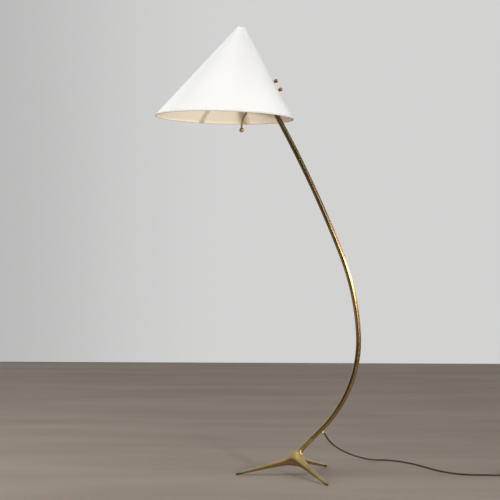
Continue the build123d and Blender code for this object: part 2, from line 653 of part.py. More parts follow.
coil_edges.append(Line(lead_out_end, coil_end))
coil_path = Wire(coil_edges)
coil = tube_along(coil_path, CORD_R)
parts["cord_coil"] = coil
samples = np.array([tuple(coil_path.position_at(k / COIL_SAMPLES)) for k in range(COIL_SAMPLES + 1)])
spans = np.linalg.norm(samples[:, None, :] - samples[None, :, :], axis=2)
steps = np.abs(np.arange(len(samples))[:, None] - np.arange(len(samples))[None, :])
apart = steps * coil_path.length / COIL_SAMPLES > 4 * stub
print("coil length", round(coil_path.length), "least gap", round(float(spans[apart].min()) - 2 * CORD_R, 2))
print("cord and coil together", round(cord_path.length + coil_path.length))

# Tie round the turns, on the far right of the coil
inner_turn = COIL_R - COIL_PITCH * (HALF_TURNS_IN // 2)
tie_y = COIL_Y + COIL_R + COIL_PITCH / 2
tie_reach = (COIL_PITCH + TIE_W) / 2
turns_low = sqrt(inner_turn**2 - tie_reach**2) - CORD_R
turns_high = COIL_R + CORD_R
tie_low = COIL_LIE - CORD_R - TIE_ROOM
tie_high = COIL_LIE + COIL_PITCH + CORD_R + TIE_ROOM
tie_span = turns_high - turns_low + 2 * TIE_ROOM
tie_rise = tie_high - tie_low
tie_middle = Pos(COIL_X + (turns_low + turns_high) / 2, tie_y, (tie_low + tie_high) / 2)
tie = Box(tie_span + 2 * TIE_T, TIE_W, tie_rise + 2 * TIE_T) - Box(tie_span, TIE_W, tie_rise)
parts["cord_tie"] = tie_middle * tie

# Plug on the end of the coil: tapered neck, rounded body and two pins
PLUG = Plane(origin=coil_end, x_dir=UP.cross(plug_way), z_dir=plug_way)
plug_outline = RectangleRounded(PLUG_W, PLUG_H, PLUG_CORNER_R)
body_end = PLUG_NECK_LEN + PLUG_BODY_LEN
plug_block = Pos(0, 0, PLUG_NECK_LEN) * extrude(plug_outline, PLUG_BODY_LEN)
plug_block = fillet(plug_block.edges().group_by(Axis.Z)[0], PLUG_EDGE_R)
plug_body = Cone(PLUG_NECK_R, PLUG_SHOULDER_R, PLUG_NECK_LEN, align=BASE) + plug_block
pins = []
for side in (-1, 1):
    pin_place = Pos(side * PIN_SPREAD / 2, 0, body_end)
    root_place = pin_place * Pos(0, 0, -PIN_ROOT)
    pin = Cylinder(PIN_R, PIN_LEN, align=BASE)
    pin = fillet(pin.edges().sort_by(Axis.Z)[-1], PIN_TIP)
    pins.append(PLUG * (pin_place * pin + root_place * Cylinder(PIN_ROOT_R, PIN_ROOT, align=BASE)))
    plug_body -= root_place * Cylinder(PIN_ROOT_R + PUSH_FIT, PIN_ROOT, align=BASE)
parts["plug_body"] = PLUG * plug_body
parts["plug_pins"] = pins

# One file for each piece or group of like pieces
os.makedirs("parts", exist_ok=True)
cord_pieces = {"cord_run", "cord_coil", "cord_tie", "plug_body", "plug_pins"}
lamp_boxes = []
for name, shape in parts.items():
    solids = shape if isinstance(shape, list) else [shape]
    node = Compound(label=name, children=[solid for piece in solids for solid in piece.solids()])
    if name not in cord_pieces:
        lamp_boxes.append(node.bounding_box())
    export_step(node, f"parts/{name}.step")
left_end = min(box.min.X for box in lamp_boxes)
right_end = max(box.max.X for box in lamp_boxes)
middle = (left_end + right_end) / 2
height = max(box.max.Z for box in lamp_boxes)
print("lamp from", round(left_end, 2), "to", round(right_end, 2), "middle", round(middle, 3))
print("height", round(height, 2), "pivot", [round(value, 3) for value in pivot])
print("stem direction", [round(value, 5) for value in stem_way])
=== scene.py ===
from math import cos, pi, radians, sin

import bmesh
import bpy
import numpy as np
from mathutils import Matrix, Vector


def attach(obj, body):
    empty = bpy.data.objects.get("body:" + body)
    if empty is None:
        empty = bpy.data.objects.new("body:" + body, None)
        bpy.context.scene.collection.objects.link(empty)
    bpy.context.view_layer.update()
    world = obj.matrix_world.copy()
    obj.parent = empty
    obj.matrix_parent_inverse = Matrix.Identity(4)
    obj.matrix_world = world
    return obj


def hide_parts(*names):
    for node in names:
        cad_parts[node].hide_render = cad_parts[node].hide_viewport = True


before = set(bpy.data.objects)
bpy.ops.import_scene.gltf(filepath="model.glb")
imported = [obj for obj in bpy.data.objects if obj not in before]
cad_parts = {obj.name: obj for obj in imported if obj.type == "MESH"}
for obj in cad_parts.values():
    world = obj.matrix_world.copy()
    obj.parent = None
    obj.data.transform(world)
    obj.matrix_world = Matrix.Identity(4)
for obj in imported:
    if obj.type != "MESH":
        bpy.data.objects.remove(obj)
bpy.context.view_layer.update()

# Studio: a plain pale floor that ends in a straight line far behind the lamp, a low lamp at the right that
# shines up into the shade, and large soft ones at the left and above. Only the one above shows in metal.
scene = bpy.context.scene
scene.view_settings.view_transform = "Standard"

floor_mesh = bpy.data.meshes.new("floor")
floor_side = 7.0
floor_end = 4.1
front_edge = [(-floor_side, -floor_side, 0), (floor_side, -floor_side, 0)]
back_edge = [(floor_side, floor_end, 0), (-floor_side, floor_end, 0)]
floor_mesh.from_pydata(front_edge + back_edge, [], [(0, 1, 2, 3)])
floor = bpy.data.objects.new("floor", floor_mesh)
scene.collection.objects.link(floor)

for lamp, place, aim_height, side, fan, watts, shines in (
    ("soft_lamp_right", (1.72, -2.45, 0.74), 1.2, 0.2, 100.0, 22.3, False),
    ("soft_lamp_left", (-3.5, -1.2, 1.9), 1.2, 2.4, 180.0, 118.0, False),
    ("soft_lamp_top", (0.1, -1.5, 3.7), 0.5, 1.6, 180.0, 8.5, True),
):
    light = bpy.data.lights.new(lamp, "AREA")
    light.shape = "SQUARE"
    light.size = side
    light.spread = radians(fan)
    light.energy = watts
    light.color = (1.0, 0.99, 0.975)
    stand = bpy.data.objects.new(lamp, light)
    stand.location = place
    stand.rotation_mode = "QUATERNION"
    stand.rotation_quaternion = (Vector((0.0, 0.0, aim_height)) - Vector(place)).to_track_quat("-Z", "Y")
    stand.visible_camera = False
    stand.visible_glossy = shines
    scene.collection.objects.link(stand)

# Camera: 4.48 m in front of the lamp and a little to the right, at the height where the photo has
# its horizon. The lens is the one that gives 3.5 mm to a pixel of a 500 pixel picture there.
camera_turn = radians(2.7)
camera_dip = radians(0.45)
camera_away = 4.48
camera_height = 0.824
aim_side = -0.028
sensor_width = 36.0
focal_pixels = 1280.0
picture_pixels = 500.0
lens = bpy.data.cameras.new("camera")
lens.sensor_width = sensor_width
lens.lens = sensor_width * focal_pixels / picture_pixels
camera = bpy.data.objects.new("camera", lens)
camera_right = aim_side + camera_away * sin(camera_turn)
camera.location = (camera_right, -camera_away * cos(camera_turn), camera_height)
level = cos(camera_dip)
looking = Vector((-sin(camera_turn) * level, cos(camera_turn) * level, -sin(camera_dip)))
camera.rotation_mode = "QUATERNION"
camera.rotation_quaternion = looking.to_track_quat("-Z", "Y")
scene.collection.objects.link(camera)
scene.camera = camera


class Finish:
    """One output socket in a node tree. Arithmetic on it adds Math nodes."""

    def __init__(self, tree, socket=None):
        self.tree = tree
        self.socket = socket

    def node(self, kind, settings, inputs, output=0):
        """Adds a node of that kind: first its settings, then the values or links of its sockets."""
        made = self.tree.nodes.new(kind)
        for key, value in settings.items():
            setattr(made, key, value)
        for key, value in inputs.items():
            if isinstance(value, Finish):
                self.tree.links.new(value.socket, made.inputs[key])
            else:
                made.inputs[key].default_value = value
        return Finish(self.tree, made.outputs[output])

    def into(self, shader, key):
        """Links this socket to a shader's socket."""
        self.tree.links.new(self.socket, shader.inputs[key])

    def maths(self, operation, first, second):
        """Adds a Math node for two values, of which at least one is a socket."""
        return self.node("ShaderNodeMath", {"operation": operation}, {0: first, 1: second})

    def __add__(self, other):
        return self.maths("ADD", self, other)

    def __radd__(self, other):
        return self.maths("ADD", other, self)

    def __sub__(self, other):
        return self.maths("SUBTRACT", self, other)

    def __rsub__(self, other):
        return self.maths("SUBTRACT", other, self)

    def __mul__(self, other):
        return self.maths("MULTIPLY", self, other)

    def __rmul__(self, other):
        return self.maths("MULTIPLY", other, self)

    def noise(self, scale, detail):
        """Cloudy value about 0.5 on these coordinates, with so many clouds to the metre."""
        return self.node("ShaderNodeTexNoise", {}, {"Vector": self, "Scale": scale, "Detail": detail})

    def stretched(self, scale):
        """These coordinates, multiplied along each axis."""
        return self.node("ShaderNodeMapping", {}, {"Vector": self, "Scale": scale})

    def rise(self, low, high):
        """Smooth rise from 0 where this value is low to 1 where it is high."""
        sockets = {"Value": self, "From Min": low, "From Max": high}
        return self.node("ShaderNodeMapRange", {"interpolation_type": "SMOOTHSTEP"}, sockets)

    def mix(self, first, second):
        """Colour that goes from first to second as this value goes from 0 to 1."""
        return self.node("ShaderNodeMix", {"data_type": "RGBA"}, {0: self, 6: first, 7: second}, 2)

    def dent(self, strength, depth):
        """Normal of a surface that this value raises by a depth in metres."""
        return self.node("ShaderNodeBump", {}, {"Height": self, "Strength": strength, "Distance": depth})


def finish(name, coordinates="Object", **fixed):
    """New material: its Principled shader with fixed values, and the coordinates that its pattern follows."""
    made = bpy.data.materials.new(name)
    made.use_nodes = True
    shader = made.node_tree.nodes["Principled BSDF"]
    for key, value in fixed.items():
        shader.inputs[key.replace("_", " ")].default_value = value
    place = Finish(made.node_tree).node("ShaderNodeTexCoord", {}, {}, coordinates)
    return made, shader, place


# Floor and surroundings: pale grey-brown screed with a faint cloud, and a world that is the grey wall of the
# studio to the eye, painted darker to the left as shade, and an even grey light to matt surfaces. Metal
# mirrors a dark front, a lighter back and top, and a bright soft band at the front right, square to the
# stem's heading where it has its highlight.
screed, shader, place = finish("pale_screed", Roughness=0.7, Specular_IOR_Level=0.2)
cloud = place.stretched((0.35, 1.6, 1.0)).noise(2.2, 5.0).rise(0.3, 0.7)
cloud.mix((0.285, 0.240, 0.198, 1.0), (0.340, 0.288, 0.240, 1.0)).into(shader, "Base Color")
floor_mesh.materials.append(screed)

world = bpy.data.worlds.new("studio")
world.use_nodes = True
scene.world = world
sky = Finish(world.node_tree)
way = sky.node("ShaderNodeTexCoord", {}, {}, "Generated")
depth = sky.node("ShaderNodeSeparateXYZ", {}, {0: way}, "Y")
side = sky.node("ShaderNodeSeparateXYZ", {}, {0: way}, "X")
front = side.rise(-0.4, 0.9).mix((0.045, 0.042, 0.038, 1.0), (0.30, 0.29, 0.27, 1.0))
front_to_back = depth.rise(-0.2, 1.0).mix(front, (0.60, 0.60, 0.60, 1.0))
above = sky.node("ShaderNodeSeparateXYZ", {}, {0: way}, "Z")
walls = above.rise(0.25, 0.95).mix(front_to_back, (0.80, 0.78, 0.74, 1.0))
shine_heading = (-0.2840, 0.0, 0.9588)
over = sky.node("ShaderNodeVectorMath", {"operation": "DOT_PRODUCT"}, {0: way, 1: shine_heading}, "Value")
band_low, band_middle, band_high = -0.11, -0.03, 0.05
band = over.rise(band_low, band_middle) * (1 - over.rise(band_middle, band_high))
glow = band * side.rise(0.15, 0.60) * (1 - depth.rise(0.1, 0.6))
mirrored = glow.mix(walls, (18.5, 18.3, 17.9, 1.0))
rays = sky.node("ShaderNodeLightPath", {}, {}, "Is Camera Ray")
glossy = sky.node("ShaderNodeLightPath", {}, {}, "Is Glossy Ray")
passing = sky.node("ShaderNodeLightPath", {}, {}, "Is Transmission Ray")
even = glossy.mix((0.345, 0.345, 0.35, 1.0), mirrored)
# Painted shade: the wall that the eye sees is darker to the left.
wall = side.rise(-0.28, -0.06).mix((0.480, 0.477, 0.475, 1.0), (0.645, 0.643, 0.640, 1.0))
seen = (rays + passing).mix(even, wall)
seen.into(world.node_tree.nodes["Background"], "Color")

# Foot: one brass casting of three tapering legs, a hub and a leaning neck, filed smooth so that
# they flow together, and rubbed bright where hands and shoes touch it. Near the floor it is painted darker,
# as shade at the toes. Its spigot is in the tube.
HUB = np.array([0.1349, 0.0, 0.0580])
LEG_WIDENING = 1.3
TOE_HEIGHT = 0.0038
TOE_REACH = 0.2085
GLIDE_HEIGHT = 0.0012
NECK_FOOT = np.array([0.1349, 0.0, 0.0766])
NECK_WAY = np.array([sin(pi / 4), 0.0, cos(pi / 4)])
NECK_LENGTH = 0.075
leg_turns = np.radians([180.0, 300.0, 60.0])
toe_sides = HUB[0] + TOE_REACH * np.cos(leg_turns)
toes = np.stack([toe_sides, TOE_REACH * np.sin(leg_turns), TOE_HEIGHT + 0 * leg_turns], axis=1)
leg_length = np.linalg.norm(toes[0] - HUB)
leg_ways = (toes - HUB) / leg_length
neck_end = NECK_FOOT + NECK_WAY * NECK_LENGTH
neck_lead = (neck_end - HUB) / np.linalg.norm(neck_end - HUB)


def limb_gap(points, foot, way, low, high, radius, widening=1.0):
    """Distance of points from an oval bar on a line: from the nearest place on the line, less its radius
    there. Sideways, level with the floor, distances are divided by the widening."""
    along = np.clip((points - foot) @ way, low, high)
    offset = points - foot - along[..., None] * way
    side = np.array([way[1], -way[0], 0.0]) / np.hypot(way[0], way[1])
    offset = offset - (1.0 - 1.0 / widening) * (offset @ side)[..., None] * side
    return np.linalg.norm(offset, axis=-1) - radius(along)


def leg_radius(along):
    """Radius of a leg: a straight taper to the toe, and a parabolic flare on the last 84 mm to the hub."""
    flare_start, flare_end = 0.100, 0.016
    start_radius, taper, flare = 0.0082, 0.0370, 0.64
    inside = flare_start - np.maximum(along, flare_end)
    return start_radius + taper * inside + flare * np.maximum(inside, 0.0) ** 2


def neck_radius(along):
    """Radius of the neck: straight at the tube, and a parabolic flare on the last 45 mm to the hub."""
    flare_start, tube_end_radius, flare = 0.045, 0.0093, 1.00
    return tube_end_radius + flare * np.maximum(flare_start - along, 0.0) ** 2


def casting_gap(points, flow=0.0062):
    """Distance from the casting: the soft minimum, -k ln of the sum of exp(-gap / k), of its limbs' gaps."""
    gaps = [limb_gap(points, HUB, way, 0.0, leg_length, leg_radius, LEG_WIDENING) for way in leg_ways]
    neck_low, neck_high = -0.004, 0.2
    gaps.append(limb_gap(points, NECK_FOOT, NECK_WAY, neck_low, neck_high, neck_radius))
    return -flow * np.log(np.exp(-np.stack(gaps) / flow).sum(axis=0))


def outwards(origins, ways):
    """Points where rays from inside leave the casting: each goes on by its gap until none is left."""
    reach = np.zeros(ways.shape[:-1])
    steps, step_share = 110, 0.9
    for _ in range(steps):
        reach = reach - step_share * casting_gap(origins + reach[..., None] * ways)
    return origins + reach[..., None] * ways


def unit(vectors):
    """Vectors divided by their lengths."""
    return vectors / np.linalg.norm(vectors, axis=-1, keepdims=True)


def arc_between(start, end, count):
    """Directions on the great circle from one direction to another, without the last."""
    share = np.linspace(0.0, 1.0, count, endpoint=False)[:, None]
    return unit(start * (1 - share) + end * share)


def limb_rows(which, limb_ways, path, bent, rounded):
    """Rows of points of one limb. The first row is the border with the other limbs, where directions from
    the hub are as near to two limbs; later rows leave the limb's path more and more squarely."""
    own = limb_ways[which]
    others = [way for k, way in enumerate(limb_ways) if k != which]
    meets = []
    for k in range(3):
        first, second, third = others[k], others[(k + 1) % 3], others[(k + 2) % 3]
        meet = unit(np.cross(own - first, own - second))
        meets.append(meet * np.sign((own - third) @ meet))
    border = np.concatenate([arc_between(meets[k], meets[(k + 1) % 3], 36) for k in range(3)])
    end_way = unit(path[-1] - path[-2])
    square = unit(border - (border @ end_way)[:, None] * end_way)
    early = ((1.0 - bent) ** 2)[:, None, None]
    ways = unit(early * border + (1.0 - early) * square)
    origins = np.broadcast_to(path[:, None, :], ways.shape)
    tilt = np.radians(rounded)[:, None, None]
    cap_ways = np.cos(tilt) * square + np.sin(tilt) * end_way
    cap_origins = np.broadcast_to(path[-1], cap_ways.shape)
    return outwards(np.concatenate([origins, cap_origins]), np.concatenate([ways, cap_ways]))


def skin(name, grids, made, body, stands_for, sharp=40.0, loop=False, lengths=None, layers=None):
    """Piece made of grids of points, each of shape (rows, columns, 3). Rows close on themselves, and also end
    to end where loop is set. Equal points are welded, so rows that shrink to a point become poles."""
    points, quads, flats, start = [], [], [], 0
    for grid in grids:
        rows, columns = grid.shape[:2]
        index = start + np.arange(rows * columns).reshape(rows, columns)
        index = np.hstack([index, index[:, :1]])
        index = np.vstack([index, index[:1]]) if loop else index
        along = np.linspace(0.0, 1.0, len(index)) if lengths is None else lengths
        flat = np.stack(np.meshgrid(np.linspace(0.0, 1.0, columns + 1), along), axis=-1)
        corners = (slice(None, -1), slice(None, -1)), (slice(None, -1), slice(1, None))
        corners += (slice(1, None), slice(1, None)), (slice(1, None), slice(None, -1))
        quads.append(np.stack([index[c] for c in corners], axis=-1).reshape(-1, 4))
        flats.append(np.stack([flat[c] for c in corners], axis=-2).reshape(-1, 2))
        points.append(grid.reshape(-1, 3))
        start += rows * columns
    mesh = bpy.data.meshes.new(name)
    mesh.from_pydata(np.concatenate(points).tolist(), [], np.concatenate(quads).tolist())
    spread = mesh.uv_layers.new(name="spread")
    spread.uv.foreach_set("vector", np.concatenate(flats).astype(np.float32).ravel())
    for layer, values in (layers or {}).items():
        attribute = mesh.attributes.new(layer, "FLOAT", "POINT")
        attribute.data.foreach_set("value", values.astype(np.float32).ravel())
    welded = bmesh.new()
    welded.from_mesh(mesh)
    bmesh.ops.remove_doubles(welded, verts=welded.verts, dist=2e-6)
    bmesh.ops.recalc_face_normals(welded, faces=welded.faces)
    welded.to_mesh(mesh)
    welded.free()
    mesh.shade_smooth()
    mesh.set_sharp_from_angle(angle=radians(sharp))
    mesh.materials.append(made)
    piece = bpy.data.objects.new(name, mesh)
    scene.collection.objects.link(piece)
    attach(piece, body)
    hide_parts(*stands_for)
    return piece


limb_ways = [*leg_ways, neck_lead]
share = np.linspace(0.0, 1.0, 110)
leg_places = 0.35 * share + 0.65 * share**2
foot_grids = []
for k in range(3):
    path = HUB + (leg_length * leg_places)[:, None] * leg_ways[k]
    foot_grids.append(limb_rows(k, limb_ways, path, share, np.linspace(6.0, 90.0, 15)))
share = np.linspace(0.0, 1.0, 60)
bow = NECK_FOOT + 0.020 * NECK_WAY
hub_part, bow_part, end_part = (1 - share) ** 2, 2 * share * (1 - share), share**2
path = hub_part[:, None] * HUB + bow_part[:, None] * bow + end_part[:, None] * neck_end
neck_rows = limb_rows(3, limb_ways, path, share, np.zeros(0))
neck_rows[-1] += (neck_end - neck_rows[-1]) @ NECK_WAY[:, None] * NECK_WAY
foot_grids.append(np.concatenate([neck_rows, np.broadcast_to(neck_end, neck_rows[-1:].shape)]))
for grid in foot_grids:
    grid[..., 2] = np.maximum(grid[..., 2], GLIDE_HEIGHT)

cast_brass, shader, place = finish("cast_brass", Metallic=1.0)
cloud = place.noise(16.0, 4.0)
fleck = place.noise(210.0, 3.0)
strokes = place.stretched((60.0, 60.0, 420.0)).noise(6.0, 2.0)
height = place.node("ShaderNodeSeparateXYZ", {}, {0: place}, "Z")
worn = height.rise(0.035, 0.095) * cloud.rise(0.30, 0.62)
grime = (cloud * 0.6 + fleck * 0.4).rise(0.36, 0.66)
patina = grime.mix((0.51, 0.375, 0.168, 1.0), (0.38, 0.274, 0.116, 1.0))
rubbed = worn.mix(patina, (0.66, 0.490, 0.220, 1.0))
# Painted shade: the casting is darker and rougher in its last 3 to 14 mm above the floor.
painted_floor_shade = 1 - height.rise(0.003, 0.014)
painted_floor_shade.mix(rubbed, (0.19, 0.140, 0.068, 1.0)).into(shader, "Base Color")
(0.33 + grime * 0.12 - worn * 0.08 + strokes * 0.05 + painted_floor_shade * 0.22).into(shader, "Roughness")
(strokes * 0.5 + fleck * 0.5).dent(0.06, 0.0002).into(shader, "Normal")
skin("foot", foot_grids, cast_brass, "stand", ["foot_casting"], sharp=60.0)

# Glides: a dark rubber pad under each toe, moulded as a low disc with a rounded edge and pressed on.
UP = np.array([0.0, 0.0, 1.0])


def eased(corners, reach):
    """Profile with rounded inner corners: a parabola leads from one side of each corner to the other."""
    corners = np.array(corners, float)
    before, after = corners[:-2] - corners[1:-1], corners[2:] - corners[1:-1]
    back = np.linalg.norm(before, axis=1, keepdims=True)
    ahead = np.linalg.norm(after, axis=1, keepdims=True)
    start = corners[1:-1] + before / back * np.minimum(reach, 0.45 * back)
    end = corners[1:-1] + after / ahead * np.minimum(reach, 0.45 * ahead)
    share = np.linspace(0.0, 1.0, 5)[:, None, None]
    turn = (1 - share) ** 2 * start + 2 * share * (1 - share) * corners[1:-1] + share**2 * end
    return np.concatenate([corners[:1], turn.transpose(1, 0, 2).reshape(-1, 2), corners[-1:]])


def turned(profile, seat, axis, sides=48):
    """Points of a turned piece: each radius and height of a profile goes round the axis through a seat."""
    profile = np.array(profile, float)
    axis = unit(np.array(axis, float))
    across = unit(np.cross(axis, (1.0, 0.0, 0.0) if abs(axis[1]) > 0.9 else (0.0, 1.0, 0.0)))
    angle = np.linspace(0.0, 2 * pi, sides, endpoint=False)[:, None]
    ring = np.cos(angle) * across + np.sin(angle) * np.cross(axis, across)
    radius = profile[:, 0].reshape(-1, 1, 1) if profile.ndim == 2 else profile[..., :1]
    height = profile[:, 1].reshape(-1, 1, 1) if profile.ndim == 2 else profile[..., 1:]
    return np.array(seat, float) + height * axis + radius * ring


dark_rubber, shader, place = finish("dark_rubber", Specular_IOR_Level=0.3)
dust = place.noise(320.0, 3.0).rise(0.42, 0.75)
dust.mix((0.022, 0.020, 0.018, 1.0), (0.060, 0.053, 0.046, 1.0)).into(shader, "Base Color")
(0.62 + dust * 0.2).into(shader, "Roughness")
dust.dent(0.15, 0.0003).into(shader, "Normal")
pad_corners = [(0, 0), (0.0031, 0), (0.0033, 0.0003), (0.0032, GLIDE_HEIGHT), (0, GLIDE_HEIGHT)]
pad = eased(pad_corners, 0.0003)
pads = [turned(pad, (toe[0], toe[1], 0.0), UP, 32) for toe in toes]
skin("glides", pads, dark_rubber, "stand", ["foot_glides"])

# Stem: a brass tube, 18 mm outside, drawn, bent cold on three formers and straight at its top.
# Its upper part is painted darker, olive brown, as shade, and it keeps fine lines of the drawing.
JOINT = np.array([0.18793, 0.0, 0.12963])
TUBE_RADIUS = 0.009
BORE_RADIUS = 0.0075
END_EASE = 0.0003
STEM_BENDS = [(0.4367, 47.6), (0.878, 18.6), (4.135, 6.5)]


def bent_line(start, heading, runs, count):
    """Line in the plane Y = 0 through runs of (length, turn): the heading turns evenly over each run, and the
    place is the running sum of the heading. Gives places, headings and lengths at even steps."""
    ends = np.concatenate([[0.0], np.cumsum([run[0] for run in runs])])
    turns = np.concatenate([[0.0], np.cumsum([radians(run[1]) for run in runs])])
    length = np.linspace(0.0, ends[-1], 40 * count + 1)
    angle = radians(heading) + np.interp(length, ends, turns)
    ways = np.stack([np.cos(angle), 0 * angle, np.sin(angle)], axis=1)
    steps = (ways[1:] + ways[:-1]) / 2 * np.diff(length)[:, None]
    places = np.array(start) + np.concatenate([np.zeros((1, 3)), np.cumsum(steps, axis=0)])
    return places[::40], ways[::40], length[::40]


def swept(places, ways, radii, sides):
    """Points of a round bar along a line in the plane Y = 0, with a ring square to the line at each place."""
    angle = np.linspace(0.0, 2 * pi, sides, endpoint=False)
    normals = np.stack([-ways[:, 2], 0 * ways[:, 0], ways[:, 0]], axis=1)
    back = np.array([0.0, 1.0, 0.0])
    ring = np.cos(angle)[None, :, None] * normals[:, None, :] + np.sin(angle)[None, :, None] * back
    return places[:, None, :] + np.reshape(radii, (-1, 1, 1)) * ring


bent_runs = [(radius * radians(turn), turn) for radius, turn in STEM_BENDS]
stem_runs = [(0.050, 0.0), *bent_runs, (0.133, 0.0)]
places, ways, lengths = bent_line(JOINT, 45.0, stem_runs, 325)
outer = swept(places, ways, TUBE_RADIUS, 64)
ends = swept(places[[0, -1]], ways[[0, -1]], TUBE_RADIUS - END_EASE, 64)
outer[0] += END_EASE * ways[0]
outer[-1] -= END_EASE * ways[-1]
inner = swept(places[::-5], ways[::-5], BORE_RADIUS, 64)
stem_grid = np.concatenate([ends[:1], outer, ends[1:], inner])
stem_lengths = np.concatenate([[0.0], lengths, lengths[-1:], lengths[::-5], [0.0]])

tube_brass, shader, place = finish("tube_brass", "UV", Metallic=1.0, Coat_Weight=0.6, Coat_Roughness=0.22)
solid = place.node("ShaderNodeTexCoord", {}, {}, "Object")
drawn = place.stretched((26.0, 3.0, 1.0)).noise(6.0, 3.0)
cloud = solid.noise(11.0, 4.0)
fleck = solid.noise(190.0, 3.0)
height = place.node("ShaderNodeSeparateXYZ", {}, {0: place}, "Y")
age = (cloud * 0.77 + drawn * 0.2 + fleck * 0.03).rise(0.28, 0.72)
# Painted shade: the tube's base colour goes darker along its upper part.
painted_dark_top = height.rise(0.46, 0.95)
low_tone = age.mix((0.530, 0.352, 0.138, 1.0), (0.385, 0.245, 0.090, 1.0))
shaded_top_tone = age.mix((0.295, 0.200, 0.077, 1.0), (0.185, 0.119, 0.042, 1.0))
painted_dark_top.mix(low_tone, shaded_top_tone).into(shader, "Base Color")
(0.17 + age * 0.05 + drawn * 0.02).into(shader, "Roughness")
drawn.dent(0.004, 0.0001).into(shader, "Normal")
skin("stem", [stem_grid], tube_brass, "stand", ["stem_tube"], loop=True, lengths=stem_lengths)

# Grub screw: a headless steel screw that holds the tube on the neck's spigot, from behind.
steel, shader, place = finish("bright_steel", Metallic=1.0)
lines = place.stretched((1.0, 90.0, 1.0)).noise(14.0, 3.0)
stain = place.noise(240.0, 3.0).rise(0.45, 0.7)
stain.mix((0.58, 0.57, 0.55, 1.0), (0.34, 0.32, 0.29, 1.0)).into(shader, "Base Color")
(0.28 + stain * 0.2 + lines * 0.08).into(shader, "Roughness")


def dress(node, made):
    """A CAD piece whose shape is right keeps its mesh and takes a finish."""
    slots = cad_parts[node].data.materials
    slots.clear()
    slots.append(made)


dress("foot_grub_screw", steel)

# Bushing: an ivory plastic sleeve, pushed into the tube's wall, that keeps the cord off the edge of
# the hole. It tapers to the cord and has three shallow grooves that let it bend.
EXIT_SEAT = np.array([0.21834, 0.0, 0.16004])
EXIT_WAY = np.array([0.54168, 0.64279, -0.54168])
BUSHING_FOOT, BUSHING_END = 0.0072, 0.0180
GROOVE_START, GROOVE_PITCH, GROOVE_DEPTH, GROOVE_WIDTH = 0.0118, 0.0020, 0.00022, 0.00028
heights = np.linspace(BUSHING_FOOT, BUSHING_END, 60)
from_groove = (heights - GROOVE_START) % GROOVE_PITCH - GROOVE_PITCH / 2
grooves = GROOVE_DEPTH * np.exp(-(from_groove / GROOVE_WIDTH) ** 2) * (heights > GROOVE_START)
radii = 0.0052 - 0.0012 * (heights - TUBE_RADIUS) / (BUSHING_END - TUBE_RADIUS) - grooves
collar = np.stack([radii, heights], axis=1)
tip = [(0.0038, 0.01815), (0.0031, 0.0181), (0.0030, 0.0172)]
tip += [(0.0030, BUSHING_FOOT), (radii[0], BUSHING_FOOT)]
ivory, shader, place = finish("ivory_plastic", Specular_IOR_Level=0.45)
yellowed = place.noise(90.0, 3.0).rise(0.35, 0.7)
yellowed.mix((0.76, 0.70, 0.55, 1.0), (0.68, 0.60, 0.44, 1.0)).into(shader, "Base Color")
(0.38 + yellowed * 0.12).into(shader, "Roughness")
place.noise(900.0, 2.0).dent(0.05, 0.0002).into(shader, "Normal")
bushing_grid = turned(np.concatenate([collar, tip]), EXIT_SEAT, EXIT_WAY, 40)
skin("bushing", [bushing_grid], ivory, "stand", ["cord_bushing"])

# Cord: a brown two-core lead of 6 mm. It leaves the bushing, hangs to the floor behind the foot, lies in
# a loose curve to the right, and its unseen rest is wound in two layers, in a coil past the view.
# The coil's points lie a little outside its turns, because the smooth line passes inside them.
CORD_START = (0.22809, 0.01157, 0.15029)
cord_points = [
    CORD_START, (0.23567, 0.02057, 0.14270), (0.245, 0.0365, 0.1215), (0.262, 0.062, 0.100),
    (0.285, 0.096, 0.079), (0.3145, 0.141, 0.057), (0.3485, 0.193, 0.037), (0.383, 0.246, 0.0195),
    (0.415, 0.294, 0.0065), (0.444, 0.316, 0.0031), (0.481, 0.308, 0.0031), (0.520, 0.281, 0.0031),
    (0.560, 0.236, 0.0031), (0.595, 0.176, 0.0031), (0.629, 0.113, 0.0031), (0.665, 0.0665, 0.0031),
    (0.705, 0.0355, 0.0031), (0.750, 0.0235, 0.0031), (0.800, 0.0255, 0.0031), (0.840, 0.0205, 0.0031),
    (0.868, 0.019, 0.0042), (0.893, 0.019, 0.0042), (0.899, 0.019, 0.0042),
]
CORD_RADIUS = 0.003
HALF_TURNS = 12
CLIMBING_TURN = 5
LAYER_RISE = 0.0066
TURN_STEP = 0.0033
CONTROL_SWELL = 1.012
LEAD_OUT_RADIUS = 0.030
PLUG_LAP = 0.006
coil_at = np.array(cord_points[-1])
ahead = np.array([1.0, 0.0, 0.0])
turn_radius = 0.0396
for half_turn in range(HALF_TURNS):
    left = np.cross(UP, ahead)
    climb = LAYER_RISE if half_turn == CLIMBING_TURN else 0.0
    angle = np.linspace(0.0, pi, 9)[1:, None]
    swing = CONTROL_SWELL * turn_radius * (np.sin(angle) * ahead - np.cos(angle) * left)
    turn = coil_at + left * turn_radius + swing + climb * angle / pi * UP
    cord_points += [tuple(point) for point in turn]
    coil_at = coil_at + left * 2 * turn_radius + climb * UP
    ahead = -ahead
    turn_radius += TURN_STEP * (-1 if half_turn < CLIMBING_TURN else 1)
angle = np.linspace(0.0, pi / 2, 5)[1:, None]
left = np.cross(UP, ahead)
lead_out = coil_at - LEAD_OUT_RADIUS * left + LEAD_OUT_RADIUS * (np.cos(angle) * left + np.sin(angle) * ahead)
cord_points += [tuple(point) for point in lead_out]
PLUG_SEAT = lead_out[-1] - PLUG_LAP * left
cord_points.append(tuple(PLUG_SEAT))

